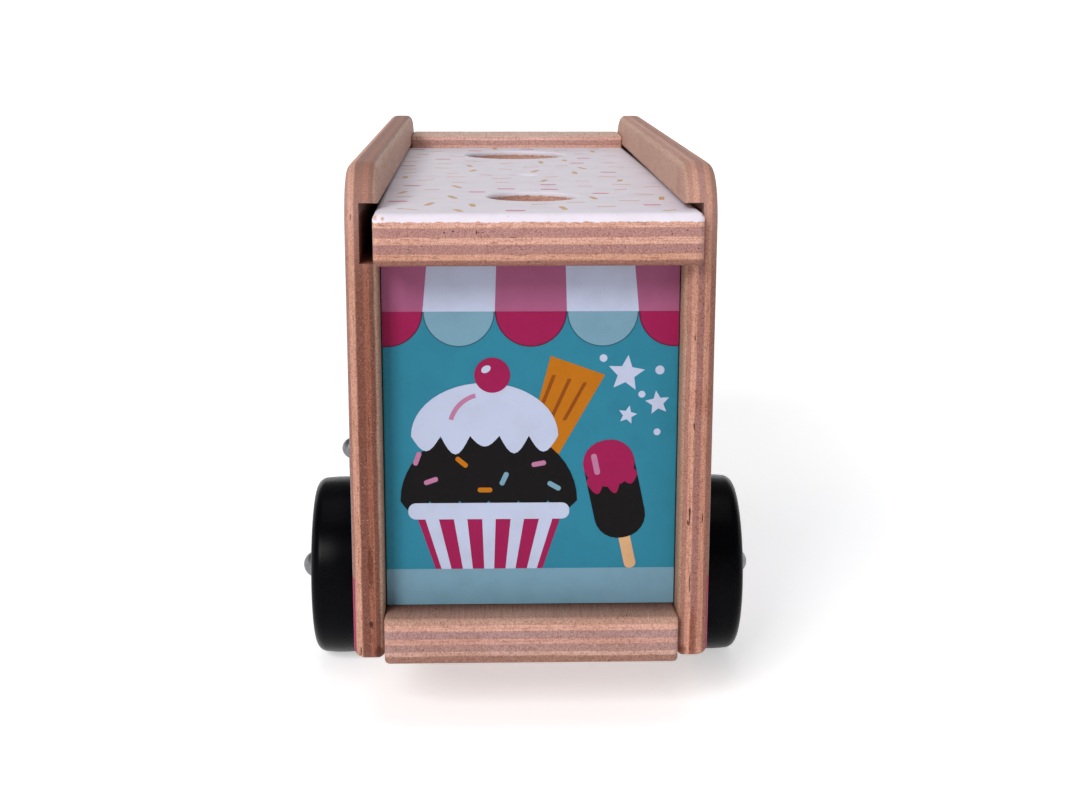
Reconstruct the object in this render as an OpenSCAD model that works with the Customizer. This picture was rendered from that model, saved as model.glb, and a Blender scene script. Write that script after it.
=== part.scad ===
// Wooden toy ice cream truck. Two side boards hold a floor, two end panels and a header.
// A roof lid slides in grooves in the side boards, and four wheels turn on steel rods.
// +X is the truck's right, +Y is forward and +Z is up. The origin is on the ground, at
// the middle of the truck's outer box.

/* [Side boards] */
// Length of a side board
side_l = 262; // [210:1:330]
// Height of a side board
side_h = 141.3; // [110:0.1:180]
// Thickness of a side board
side_t = 9; // [7:0.5:12]
// Width over both side boards
body_w = 102; // [80:1:130]
// Radius of the upper rear corner
rear_corner_r = 16; // [6:1:22]
// Radius of the upper front corner
front_corner_r = 30; // [12:1:38]
// Radius of the two lower corners
foot_corner_r = 3; // [2:1:9]

/* [Floor board] */
// Thickness of the floor board
floor_t = 13.7; // [9:0.1:16]
// How far the floor hangs below the side boards
floor_drop = 0.1; // [0:0.1:2]
// How far the floor stands out behind the side boards
floor_proud = 3; // [0:0.5:5]
// Wood left above the channel that an axle lies in
channel_web = 3.9; // [1:0.1:5]
// Gap all round an axle in its channel
channel_gap = 0.3; // [0.2:0.1:1]

/* [End panels] */
// Thickness of an end panel
panel_t = 6; // [4:0.5:10]
// From the side boards' rear ends in to the rear panel
rear_inset = 9; // [4:0.5:25]
// From the side boards' front ends in to the front panel
front_inset = 14; // [13:0.5:20]
// Gap between a panel and a side board
panel_gap = 0.2; // [0.1:0.05:0.4]
// Gap between a panel's upper edge and what is above it
panel_head_gap = 0.4; // [0.2:0.1:0.6]

/* [Header] */
// Thickness of the header board
header_t = 9; // [6:0.5:12]
// Length of the header board
header_l = 26; // [18:0.5:34]
// From the side boards' front ends in to the header
header_inset = 13; // [6:0.5:13]
// How far the header's lower face lies below the lid's top
header_lap = 4.4; // [1:0.1:5]

/* [Roof lid] */
// Thickness of the lid
lid_t = 14.4; // [10:0.2:18]
// How far the lid stands out behind the side boards
lid_overhang = 6.9; // [2:0.1:15]
// Gap between the lid and the header
lid_end_gap = 1.15; // [1:0.05:2]
// Sideways play of the lid in its grooves
lid_play = 4.5; // [1.5:0.1:6]
// Gap left where a corner of the lid comes nearest to a groove's wall
lid_side_gap = 0.4; // [0.2:0.05:0.6]
// Gap under the lid
lid_bed_gap = 0.2; // [0.1:0.05:0.4]
// Gap over the lid
lid_headroom = 1.2; // [0.4:0.1:2]
// Wood left outside a groove
groove_web = 4.1; // [3:0.1:6]
// From a side board's upper edge down to its groove
groove_drop = 10.8; // [8:0.1:16]

/* [Holes in the lid] */
// Radius of the rear cone hole
rear_hole_r = 13; // [8:0.5:18]
// From the lid's rear edge to the rear cone hole
rear_hole_y = 43.4; // [30:0.1:55]
// Radius of the small stick hole
stick_hole_r = 4.3; // [2:0.1:8]
// From the lid's rear edge to the stick hole
stick_hole_y = 111.3; // [90:0.1:120]
// Radius of the front cone hole
front_hole_r = 18.5; // [12:0.5:22]
// From the lid's front edge to the front cone hole
front_hole_y = 35.4; // [30:0.1:45]

/* [Wheels] */
// Radius of a wheel
wheel_r = 28.3; // [22:0.1:38]
// Thickness of a wheel
wheel_t = 14.6; // [10:0.1:20]
// Rounding of a wheel's outer edge
outer_edge_r = 3.5; // [1:0.1:5]
// Rounding of a wheel's inner edge
inner_edge_r = 1.5; // [0.5:0.1:4]
// Radius of the boss on a wheel's inner face
boss_r = 8; // [5:0.5:12]
// Height of the boss on a wheel's inner face
boss_h = 1.2; // [0.5:0.1:3]
// Gap between the boss and the side board
wheel_gap = 0.3; // [0.2:0.1:1]
// From the side boards' rear ends to the rear axle
rear_axle_y = 66.5; // [50:0.5:90]
// From the side boards' front ends to the front axle
front_axle_y = 45; // [40:0.5:90]

/* [Axles] */
// Radius of an axle rod
rod_r = 2; // [1.5:0.1:3]
// Gap all round a rod in a side board
rod_side_gap = 0.1; // [0.05:0.05:0.3]
// Gap all round a rod in a wheel
rod_wheel_gap = 0.08; // [0.03:0.01:0.1]
// Gap all round a rod in its cap
rod_cap_gap = 0.02; // [0.02:0.01:0.05]
// Radius of an axle cap
cap_r = 4.2; // [3.6:0.1:6]
// Height of an axle cap
cap_h = 4.5; // [4:0.1:7]
// Height of the straight part of an axle cap
cap_rim_h = 1.2; // [0.5:0.1:2]
// How deep a rod goes into its cap
cap_seat = 3; // [2:0.1:3]
// Gap between a cap and its wheel
cap_gap = 0.3; // [0.2:0.1:1]

/* [Hidden] */
$fn = 96;
ends = ["rear", "front"];
hands = ["left", "right"];

over = 1;                                   // how far a cut runs past the wood
inner_x = body_w / 2 - side_t;              // inner face of a side board
groove_x = body_w / 2 - groove_web;         // wall of a groove

axle_z = wheel_r;
channel_top = axle_z + rod_r + channel_gap;
floor_top = channel_top + channel_web;
floor_z = floor_top - floor_t;
side_z = floor_z + floor_drop;
groove_top = side_z + side_h - groove_drop;
lid_z = groove_top - lid_headroom - lid_t;
groove_z = lid_z - lid_bed_gap;
groove_h = groove_top - groove_z;
header_z = lid_z + lid_t - header_lap;

header_y = side_l - header_inset - header_l;
lid_w = 2 * groove_x - lid_play;
lid_l = header_y - lid_end_gap + lid_overhang;
lid_y = lid_l / 2 - lid_overhang;                            // middle of the lid
lid_skew = asin((lid_play - 2 * lid_side_gap) / lid_l);      // the lid lies askew in its grooves
lid_half_l = lid_l / 2 * cos(lid_skew) + lid_w / 2 * sin(lid_skew);
middle_y = (side_l + min(lid_y - lid_half_l, -floor_proud)) / 2;

boss_x = body_w / 2 + wheel_gap;
wheel_x = boss_x + boss_h;
cap_x = wheel_x + wheel_t + cap_gap;
dome_h = cap_h - cap_rim_h;
dome_r = (cap_r * cap_r + dome_h * dome_h) / (2 * dome_h);

function axle_y(end) = end == "rear" ? rear_axle_y : side_l - front_axle_y;
function hand_sign(hand) = hand == "left" ? -1 : 1;

// Moves what is drawn from the side boards' rear ends to the truck's own origin
module in_place() {
    translate([0, -middle_y, 0]) children();
}

// Turns a shape drawn along +Z to lie along +X on the axle, on the given hand
module on_axle(end, hand, x) {
    in_place()
        translate([hand_sign(hand) * x, axle_y(end), axle_z])
            rotate([0, hand_sign(hand) * 90, 0])
                children();
}

// The waste outside a rounded corner, whose square corner is at the origin
module corner_waste(r, y_sign, z_sign) {
    scale([y_sign, z_sign])
        difference() {
            translate([-over, -over]) square(r + over);
            translate([r, r]) circle(r);
        }
}

// Outline of a side board, length along x and height along y
module side_outline() {
    difference() {
        square([side_l, side_h]);
        corner_waste(foot_corner_r, 1, 1);
        translate([side_l, 0]) corner_waste(foot_corner_r, -1, 1);
        translate([0, side_h]) corner_waste(rear_corner_r, 1, -1);
        translate([side_l, side_h]) corner_waste(front_corner_r, -1, -1);
    }
}

// Outline of the groove, open at the rear, with the cutter's round end at the front
module groove_outline() {
    translate([-over, groove_z - side_z]) square([header_y + over, groove_h]);
    translate([header_y, groove_z - side_z + groove_h / 2]) circle(d = groove_h);
}

// Stands an outline up along the truck, from x to x + thickness
module upright(x, thickness) {
    in_place()
        translate([x, 0, side_z])
            rotate([90, 0, 90])
                linear_extrude(thickness) children();
}

module side_board(hand) {
    outer_x = hand == "left" ? -body_w / 2 : inner_x;
    groove_from_x = hand == "left" ? -groove_x : inner_x - over;
    color("burlywood")
        difference() {
            upright(outer_x, side_t) side_outline();
            upright(groove_from_x, side_t - groove_web + over) groove_outline();
            for (end = ends)
                on_axle(end, hand, inner_x - over)
                    cylinder(r = rod_r + rod_side_gap, h = side_t + 2 * over);
        }
}

module floor_board() {
    color("tan")
        in_place()
            difference() {
                translate([-inner_x, -floor_proud, floor_z])
                    cube([2 * inner_x, side_l + floor_proud, floor_t]);
                for (end = ends)
                    translate([-inner_x - over, axle_y(end) - rod_r - channel_gap, floor_z - over])
                        cube([2 * (inner_x + over), 2 * (rod_r + channel_gap),
                              channel_top - floor_z + over]);
            }
}

// A panel that stands on the floor between the side boards
module end_panel(y, top_z) {
    in_place()
        translate([panel_gap - inner_x, y, floor_top])
            cube([2 * (inner_x - panel_gap), panel_t, top_z - panel_head_gap - floor_top]);
}

module rear_panel() {
    color("cadetblue") end_panel(rear_inset, groove_z);
}

module front_panel() {
    color("cadetblue") end_panel(side_l - front_inset - panel_t, header_z);
}

module front_header() {
    color("burlywood")
        in_place()
            translate([-inner_x, header_y, header_z])
                cube([2 * inner_x, header_l, header_t]);
}

module lid_hole(y, r) {
    translate([0, y - lid_l / 2, -over]) cylinder(r = r, h = lid_t + 2 * over);
}

module roof_lid() {
    color("mistyrose")
        in_place()
            translate([0, lid_y, lid_z])
                rotate([0, 0, lid_skew])
                    difference() {
                        translate([-lid_w / 2, -lid_l / 2, 0]) cube([lid_w, lid_l, lid_t]);
                        lid_hole(rear_hole_y, rear_hole_r);
                        lid_hole(stick_hole_y, stick_hole_r);
                        lid_hole(lid_l - front_hole_y, front_hole_r);
                    }
}

module axle(end) {
    rod_end_x = cap_x + cap_seat;
    color("silver")
        on_axle(end, "right", -rod_end_x) cylinder(r = rod_r, h = 2 * rod_end_x);
}

// Half section of a wheel, radius along x and thickness along y, outer face up
module wheel_section() {
    difference() {
        union() {
            square([wheel_r, wheel_t]);
            translate([0, -boss_h]) square([boss_r, boss_h + over]);
        }
        translate([-over, -boss_h - over])
            square([rod_r + rod_wheel_gap + over, wheel_t + boss_h + 2 * over]);
        translate([wheel_r, 0]) corner_waste(inner_edge_r, -1, 1);
        translate([wheel_r, wheel_t]) corner_waste(outer_edge_r, -1, -1);
    }
}

module wheel(end, hand) {
    color("dimgray")
        on_axle(end, hand, wheel_x)
            rotate_extrude() wheel_section();
}

// Half section of a domed cap, radius along x and height along y, closed end up
module cap_section() {
    difference() {
        union() {
            square([cap_r, cap_rim_h]);
            intersection() {
                translate([0, cap_h - dome_r]) circle(dome_r);
                translate([0, cap_rim_h]) square([cap_r, dome_h]);
            }
        }
        translate([-over, -over]) square([rod_r + rod_cap_gap + over, cap_seat + over]);
    }
}

module axle_cap(end, hand) {
    color("gainsboro")
        on_axle(end, hand, cap_x)
            rotate_extrude() cap_section();
}

for (hand = hands)
    side_board(hand);
floor_board();
rear_panel();
front_panel();
front_header();
roof_lid();
for (end = ends)
    axle(end);
for (end = ends, hand = hands)
    wheel(end, hand);
for (end = ends, hand = hands)
    axle_cap(end, hand);
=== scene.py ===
# The looks of a wooden toy ice cream truck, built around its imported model.
# Boards, wheels and caps are rebuilt with sanded edges. The printed art is thin layers of ink.
import math

import bmesh
import bpy
from mathutils import Matrix, Vector, noise


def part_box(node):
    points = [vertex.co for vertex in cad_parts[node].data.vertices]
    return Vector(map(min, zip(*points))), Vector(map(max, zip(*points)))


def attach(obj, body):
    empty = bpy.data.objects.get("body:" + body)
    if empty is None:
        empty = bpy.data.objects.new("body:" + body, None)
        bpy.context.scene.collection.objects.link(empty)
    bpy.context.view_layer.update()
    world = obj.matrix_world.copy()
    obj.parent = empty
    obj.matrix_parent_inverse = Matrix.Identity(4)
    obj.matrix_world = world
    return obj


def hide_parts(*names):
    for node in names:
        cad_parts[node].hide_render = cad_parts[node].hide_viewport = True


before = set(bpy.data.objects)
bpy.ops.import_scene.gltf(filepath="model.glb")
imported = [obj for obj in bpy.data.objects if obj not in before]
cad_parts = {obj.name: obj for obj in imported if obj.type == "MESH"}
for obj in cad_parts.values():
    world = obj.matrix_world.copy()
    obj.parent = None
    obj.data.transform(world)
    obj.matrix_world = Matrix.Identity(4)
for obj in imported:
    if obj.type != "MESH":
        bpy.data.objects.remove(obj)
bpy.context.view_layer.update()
mm = 0.001   # in metres


def middleOf(node):   # the middle of a node's box, in mm
    low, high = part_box(node)
    return (low + high) / 2 / mm


sideRear, sideFront = (corner.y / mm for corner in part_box("side_board_left"))


# Camera, first because everything is judged through it

cameraLook = {
    "place": (-12.3, sideRear - 457.5, 201.7),   # mm
    "turn": 1.83, "dip": 13.01, "roll": -0.13,   # degrees
    "lens": 56.35, "sensor": 36.0,               # mm
    "clip": (0.01, 50),                          # m
}


def makeCamera(look):
    data = bpy.data.cameras.new("camera")
    data.lens, data.sensor_width = look["lens"], look["sensor"]
    data.clip_start, data.clip_end = look["clip"]
    camera = bpy.data.objects.new("camera", data)
    bpy.context.scene.collection.objects.link(camera)
    camera.rotation_mode = "QUATERNION"
    turn, dip, roll = (math.radians(look[k]) for k in ("turn", "dip", "roll"))
    forward = Vector((math.sin(turn) * math.cos(dip), math.cos(turn) * math.cos(dip), -math.sin(dip)))
    level = forward.to_track_quat("-Z", "Y")
    camera.rotation_quaternion = level @ Matrix.Rotation(-roll, 3, "Z").to_quaternion()
    camera.location = Vector(look["place"]) * mm
    bpy.context.scene.camera = camera


makeCamera(cameraLook)


# Node helper: a socket that takes part in Python sums

class Wire:
    def __init__(self, tree, socket=None):
        self.tree = tree
        self.socket = socket

    def make(self, kind, settings=None, inputs=None, out=0):
        node = self.tree.nodes.new(kind)
        for name, value in (settings or {}).items():
            if name == "stops":
                fillRamp(node.color_ramp, value)
            else:
                setattr(node, name, value)
        for key, value in (inputs or {}).items():
            if isinstance(value, Wire):
                self.tree.links.new(value.socket, node.inputs[key])
            else:
                node.inputs[key].default_value = value
        return Wire(self.tree, node.outputs[out])

    def sum(self, operation, first, second):
        return self.make("ShaderNodeMath", {"operation": operation}, {0: first, 1: second})

    def vector(self, operation, *parts, out=0):
        return self.make("ShaderNodeVectorMath", {"operation": operation}, dict(enumerate(parts)), out)

    def __add__(self, other):
        return self.sum("ADD", self, other)

    def __sub__(self, other):
        return self.sum("SUBTRACT", self, other)

    def __rsub__(self, other):
        return self.sum("SUBTRACT", other, self)

    def __mul__(self, other):
        return self.sum("MULTIPLY", self, other)

    def __truediv__(self, other):
        return self.sum("DIVIDE", self, other)

    __radd__ = __add__
    __rmul__ = __mul__


def fillRamp(ramp, stops):
    while len(ramp.elements) > 1:
        ramp.elements.remove(ramp.elements[-1])
    ramp.elements[0].position, ramp.elements[0].color = stops[0]
    for position, colour in stops[1:]:
        ramp.elements.new(position).color = colour


def linear(colour):   # a screen colour, 0 to 255, as Blender's linear one
    parts = [c / 255 for c in colour]
    return tuple(c / 12.92 if c < 0.04 else ((c + 0.055) / 1.055) ** 2.4 for c in parts) + (1.0,)


def between(value, low, high):   # 0 below low, 1 above high, smooth between
    return value.make("ShaderNodeMapRange", {"interpolation_type": "SMOOTHSTEP"},
                      {"Value": value, "From Min": low, "From Max": high})


def mixed(mask, under, over, blend="MIX"):   # colours
    return mask.make("ShaderNodeMix", {"data_type": "RGBA", "blend_type": blend},
                     {0: mask, 6: under, 7: over}, out=2)


def tinted(colour, mask, by):   # multiplies by a colour where the mask is 1
    return mixed(mask, colour, (*by, 1.0), "MULTIPLY")


def metres(sizes):
    return tuple(size * mm for size in sizes)


def cloud(place, size, detail=3.0, rough=0.5, seed=0.0):   # noise. size is its blobs', one or three, in mm
    sizes = size if isinstance(size, tuple) else (size,) * 3
    spread = place.make("ShaderNodeMapping", None, {
        "Vector": place, "Location": (seed, seed * 1.7, seed * 0.6),
        "Scale": tuple(1 / (size * mm) for size in sizes)})
    return place.make("ShaderNodeTexNoise", {"noise_dimensions": "3D"},
                      {"Vector": spread, "Scale": 1.0, "Detail": detail, "Roughness": rough})


def axisOf(place, axis):   # one coordinate, in mm
    return place.make("ShaderNodeSeparateXYZ", None, {"Vector": place}, out=axis) / mm


def startMaterial(name, constants=None):
    material = bpy.data.materials.new(name)
    material.use_nodes = True
    shader = material.node_tree.nodes["Principled BSDF"]
    for socket, value in (constants or {}).items():
        shader.inputs[socket].default_value = value
    wire = Wire(material.node_tree)
    return material, shader, wire.make("ShaderNodeTexCoord", out=3)


def finishMaterial(shader, colour, roughness, height):   # height in mm
    tree = colour.tree
    bump = colour.make("ShaderNodeBump", None, {"Strength": 1.0, "Distance": mm, "Height": height})
    for socket, value in (("Base Color", colour), ("Roughness", roughness), ("Normal", bump)):
        tree.links.new(value.socket, shader.inputs[socket])


# Plywood: plies by depth through the board, each with its own grain direction

woodLook = {
    "fibre": (13.0, 0.42), "pore": (3.2, 0.3), "gap": (7.0, 0.9),   # length along and width across, mm
    "saw": (1.6, 0.26), "crumb": 0.5, "fleck": 0.45, "patch": 30, "scorch": 26,   # mm
    "blur": 0.26, "wander": 0.6,        # mm that two plies run together, and that their border strays
    "seam": 0.8,                        # shade of the glue line
    "tints": {
        "late": (0.8, 0.72, 0.68), "early": (1.07, 1.08, 1.09), "sawn": (0.84, 0.77, 0.74),
        "patch": (0.93, 0.89, 0.87), "scorch": (0.86, 0.75, 0.69), "pore": (0.62, 0.52, 0.48),
        "gap": (0.2, 0.14, 0.11), "pit": (0.66, 0.58, 0.55), "crumb": (1.2, 1.24, 1.26),
        # joint is the tint of the painted shade on the floor beside the end panels
        "joint": (0.34, 0.25, 0.2),
    },
    "fleckColour": (236, 206, 196), "chalkColour": (240, 196, 180),
    # shadedJointWidth is the width of the painted shade beside each end panel
    "shadedJointWidth": 10.0,                 # mm
}


def alongAxis(axis, length, width):
    return tuple(length if i == axis else width for i in range(3))


def plyStops(plies):   # (thickness mm, colour, True where the grain runs along the board)
    total = sum(ply[0] for ply in plies)
    blur = woodLook["blur"]
    stops, depth, last = [], 0.0, None
    for thickness, colour, lengthwise in plies:
        tone = linear(colour)[:3] + (float(lengthwise),)
        if last:
            seam = tuple(woodLook["seam"] * (a + b) / 2 for a, b in zip(last[:3], tone))
            stops.append((depth / total, (*seam, float(lengthwise))))
        stops.append(((depth + blur if last else 0.0) / total, tone))
        depth += thickness
        stops.append(((depth - blur) / total, tone))
        last = tone
    return stops


def near(place, spot, radii):   # 1 at a spot, 0 from one radius away, with a ragged border. All in mm
    local = place.vector("DIVIDE", place.vector("SUBTRACT", place, metres(spot)), metres(radii))
    away = place.vector("LENGTH", local, out=1)
    return 1 - between(away + (cloud(place, 1.2, 2.0, 0.6) - 0.5) * 0.8, 0.6, 1.0)


def plyField(place, look):   # the colour, height and roughness of the bare wood
    stack, grain = look["stack"], look["grain"]
    cross = 3 - stack - grain
    seed = look["seed"]
    depth = (axisOf(place, stack) - look["start"]) * look["way"]
    total = sum(ply[0] for ply in look["plies"])
    stray = (cloud(place, 16, 2.0, seed=seed) - 0.5) * woodLook["wander"]
    ramp = place.make("ShaderNodeValToRGB", {"stops": plyStops(look["plies"])},
                      {"Fac": (depth + stray) / total})
    lengthwise = Wire(ramp.tree, ramp.socket.node.outputs[1])

    def fibres(kind, detail, shift):
        length, width = woodLook[kind]
        onward = cloud(place, alongAxis(grain, length, width), detail, 0.6, seed + shift)
        crossed = cloud(place, alongAxis(cross, length, width), detail, 0.6, seed + shift)
        return crossed + (onward - crossed) * lengthwise

    fibre = fibres("fibre", 4.0, 0.0)
    pore = between(fibres("pore", 1.0, 5.0), 0.64, 0.74)
    gap = between(fibres("gap", 1.0, 9.0), 0.73, 0.76) * (1 - lengthwise)
    patch = cloud(place, woodLook["patch"], 2.0, 0.5, seed + 3.0)
    scorch = cloud(place, woodLook["scorch"], 1.0, 0.5, seed + 7.0)
    saw = cloud(place, alongAxis(stack, *woodLook["saw"]), 3.0, 0.7, seed + 11.0)
    crumb = cloud(place, woodLook["crumb"], 4.0, 0.75, seed + 15.0)
    fleck = between(cloud(place, woodLook["fleck"], 2.0, 0.6, seed + 13.0), 0.66, 0.72)
    masks = {
        "late": between(fibre, 0.42, 0.75), "early": between(fibre, 0.5, 0.3),
        "sawn": between(saw, 0.48, 0.75), "patch": between(patch, 0.4, 0.7),
        "scorch": between(scorch, 0.66, 0.78), "pore": pore, "gap": gap,
        "pit": between(crumb, 0.49, 0.66), "crumb": between(crumb, 0.49, 0.34),
    }
    tints = woodLook["tints"]
    colour = ramp
    for kind, mask in masks.items():
        colour = tinted(colour, mask, tints[kind])
    colour = mixed(fleck * 0.35, colour, linear(woodLook["fleckColour"]))
    for spot, radii, tint in look.get("marks", ()):   # knots and burns
        colour = tinted(colour, near(place, spot, radii), tint)
    if "chalky" in look:   # a little paler towards the top, between two heights in mm
        chalk = between(axisOf(place, 2), *look["chalky"]) * 0.2
        colour = mixed(chalk, colour, linear(woodLook["chalkColour"]))
    for joint in look.get("joints", ()):   # painted shade beside each end panel, places along the truck in mm
        away = place.make("ShaderNodeMath", {"operation": "ABSOLUTE"}, {0: axisOf(place, 1) - joint})
        colour = tinted(colour, 1 - between(away, 0.0, woodLook["shadedJointWidth"]), tints["joint"])
    height = fibre * 0.07 + saw * 0.06 + crumb * 0.07 - pore * 0.08 - gap * 0.4
    roughness = 0.56 + (fibre - 0.5) * 0.25 + pore * 0.15
    return depth, colour, height, roughness


def plywood(name, look):
    material, shader, place = startMaterial(name, {"Specular IOR Level": 0.16 if "paint" in look else 0.25})
    depth, colour, height, roughness = plyField(place, look)
    if "paint" in look:
        colour, height, roughness = painted(place, depth, colour, height, roughness, look["paint"])
    finishMaterial(shader, colour, roughness, height)
    return material


# Paint and ink

def paintTone(place, colour, seed):   # a flat coat is never quite even
    mottle = cloud(place, 9, 3.0, 0.6, seed)
    speck = between(cloud(place, 0.35, 1.0, 0.5, seed + 2.0), 0.74, 0.8)
    tone = tinted(colour, between(mottle, 0.4, 0.75), (0.93, 0.925, 0.92))
    return tinted(tone, speck, (0.8, 0.78, 0.76))


def paintHeight(place, grain, seed):   # the wood's grain still shows a little through the coat
    nap = cloud(place, alongAxis(grain, 9.0, 0.5), 3.0, 0.6, seed)
    peel = cloud(place, 0.8, 2.0, 0.6, seed + 4.0)
    return nap * 0.024 + peel * 0.05


def awayFrom(place, x, y):   # distance from an upright line, in mm
    flat = place.vector("MULTIPLY", place, (1, 1, 0))
    return place.vector("DISTANCE", flat, metres((x, y, 0)), out=1) / mm


def painted(place, depth, colour, height, roughness, paint):
    seed = paint["seed"]
    rim = (cloud(place, 2.2, 4.0, 0.72, seed) - 0.5) * paint["ragged"]
    reach = paint["depth"]
    if "footDepth" in paint:   # the lowest band wraps further round the edge
        bandTop = paint["bands"][0][0]
        reach = 1 - between(axisOf(place, 2), bandTop - 1, bandTop)
        reach = reach * (paint["footDepth"] - paint["depth"]) + paint["depth"]
    for x, y, radius, rimDepth in paint.get("rims", ()):   # the coat stops higher up inside a hole
        inHole = 1 - between(awayFrom(place, x, y), radius + 1.7, radius + 2.0)
        reach = inHole * (rimDepth - paint["depth"]) + reach
    coat = 1 - between(depth + rim - reach, -0.06, 0.06)
    chip = between(cloud(place, 1.6, 2.0, 0.6, seed + 6.0), 0.72, 0.75)
    coat = coat * (1 - chip * between(depth, 0.35, 1.1))
    for x, y, radius in paint.get("soaked", ()):   # a hole painted all the way down
        inHole = 1 - between(awayFrom(place, x, y), radius, radius + 0.3)
        coat = coat + inHole * (1 - coat)
    for spot, radius in paint.get("chips", ()):
        coat = coat * (1 - near(place, spot, (radius,) * 3))
    tone = linear(paint["colour"])
    for edge, upperColour in paint.get("bands", ()):   # colour changes with height up the board
        tone = mixed(between(axisOf(place, 2), edge - 0.1, edge + 0.1), tone, linear(upperColour))
    tone = paintTone(place, tone, seed)
    colour = mixed(coat, colour, tone)
    coatHeight = paintHeight(place, paint["grain"], seed) + 0.05
    height = height + (coatHeight - height) * coat
    roughness = roughness + (0.4 + cloud(place, 3, 2.0) * 0.12 - roughness) * coat
    return colour, height, roughness


def ink(name, colour, grain=0, seed=11.0):
    material, shader, place = startMaterial(name, {"Specular IOR Level": 0.16})
    tone = paintTone(place, linear(colour), seed)
    roughness = 0.4 + cloud(place, 3, 2.0) * 0.12
    finishMaterial(shader, tone, roughness, paintHeight(place, grain, seed))
    return material


# Lacquer and steel

lacquerLook = {   # linear colours
    "deep": (0.0006, 0.0005, 0.0012, 1), "hazy": (0.0014, 0.0011, 0.0024, 1),
    "worn": (0.03, 0.026, 0.032, 1),
    "dust": 0.25, "scuff": 0.08,   # how much of the worn colour shows in each
}
steelLook = {"dark": (96, 96, 100), "bright": (150, 150, 152), "pit": (0.45, 0.4, 0.36)}


def lacquer(look):
    material, shader, place = startMaterial("black_lacquer", {"Specular IOR Level": 0.05})
    dust = between(cloud(place, 0.5, 2.0, 0.6, 2.0), 0.7, 0.78)
    scuff = between(cloud(place, (7.0, 0.5, 0.5), 3.0, 0.6, 6.0), 0.66, 0.8)
    haze = cloud(place, 12, 3.0, 0.6, 4.0)
    colour = mixed(haze, look["deep"], look["hazy"])
    for kind, mask in (("dust", dust), ("scuff", scuff)):
        colour = mixed(mask * look[kind], colour, look["worn"])
    grain = cloud(place, (9.0, 0.6, 0.6), 3.0, 0.6, 8.0)
    finishMaterial(shader, colour, 0.2 + haze * 0.16 + dust * 0.3, grain * 0.02 + dust * 0.02)
    return material


def steel(look):
    material, shader, place = startMaterial("zinc_steel", {"Metallic": 1.0})
    brush = cloud(place, (0.25, 2.5, 2.5), 3.0, 0.6, 1.0)
    bloom = cloud(place, 1.3, 2.0, 0.6, 5.0)
    pit = between(cloud(place, 0.3, 1.0, 0.5, 9.0), 0.7, 0.78)
    colour = mixed(bloom, linear(look["dark"]), linear(look["bright"]))
    colour = tinted(colour, pit, look["pit"])
    finishMaterial(shader, colour, 0.26 + brush * 0.22 + pit * 0.2, brush * 0.008 - pit * 0.02)
    return material


# Mesh helpers

shadeLook = {"wide": 1.0, "wideBend": 0.5, "narrowBend": 42}   # mm, then the degrees that stay smooth


def plate(origin, along, up, out):   # takes (along, up, out) in mm to the truck's frame in metres
    columns = [Vector(v) * mm for v in (along, up, out, origin)]
    return Matrix([[column[row] for column in columns] for row in range(3)] + [[0, 0, 0, 1]])


def link(name, mesh, materials, body, slot, *nodes):
    piece = bpy.data.objects.new(name, mesh)
    bpy.context.scene.collection.objects.link(piece)
    for material in materials:
        mesh.materials.append(material)
    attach(piece, body)
    if nodes:
        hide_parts(*nodes)
    return piece


def meshFrom(name, bm, place=Matrix.Identity(4), merge=0.01):   # merge in mm
    bm.transform(place)
    if merge:
        bmesh.ops.remove_doubles(bm, verts=bm.verts, dist=merge * mm)
    bmesh.ops.recalc_face_normals(bm, faces=bm.faces)
    mesh = bpy.data.meshes.new(name)
    bm.to_mesh(mesh)
    bm.free()
    return mesh


def shade(mesh, look=shadeLook):   # wide flat faces keep hard borders, narrow ones blend into each other
    bm = bmesh.new()
    bm.from_mesh(mesh)
    for edge in bm.edges:
        wide = any(face.calc_area() / face.calc_perimeter() > look["wide"] * mm for face in edge.link_faces)
        edge.smooth = edge.calc_face_angle(0.0) < math.radians(look["wideBend" if wide else "narrowBend"])
    for face in bm.faces:
        face.smooth = True
    bm.to_mesh(mesh)
    bm.free()
    return mesh


def carved(mesh, cutters):   # each cutter is a closed mesh
    scene = bpy.context.scene.collection
    base = bpy.data.objects.new("carving", mesh)
    scene.objects.link(base)
    tools = []
    for cutter in cutters:
        tool = bpy.data.objects.new("cutter", cutter)
        scene.objects.link(tool)
        tools.append(tool)
        cut = base.modifiers.new("cut", "BOOLEAN")
        cut.operation, cut.solver, cut.object = "DIFFERENCE", "EXACT", tool
    depsgraph = bpy.context.evaluated_depsgraph_get()
    made = bpy.data.meshes.new_from_object(base.evaluated_get(depsgraph))
    for spare in [base] + tools:
        bpy.data.objects.remove(spare)
    return made


def cornered(low, high, radii, step=4.0, turns=8):
    # outline of a board, from the low-v corner at high u and round. Every inset has as many points
    counts = [max(int((high[1] - low[1]) / step), 1), max(int((high[0] - low[0]) / step), 1)] * 2

    def outline(inset):
        u = (low[0] + inset, high[0] - inset)
        v = (low[1] + inset, high[1] - inset)
        arcs = []
        for number, (du, dv) in enumerate(((1, 0), (1, 1), (0, 1), (0, 0))):
            r = max(radii[number] - inset, 0.02)
            centre = Vector((u[du] - r * (2 * du - 1), v[dv] - r * (2 * dv - 1)))
            angles = [math.radians(90 * (number - 1 + k / turns)) for k in range(turns + 1)]
            arcs.append([centre + r * Vector((math.cos(a), math.sin(a))) for a in angles])
        points = []
        for number, arc in enumerate(arcs):
            ahead = arcs[(number + 1) % 4][0]
            points += arc + [arc[-1].lerp(ahead, k / counts[number]) for k in range(1, counts[number])]
        return points

    return outline


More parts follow.
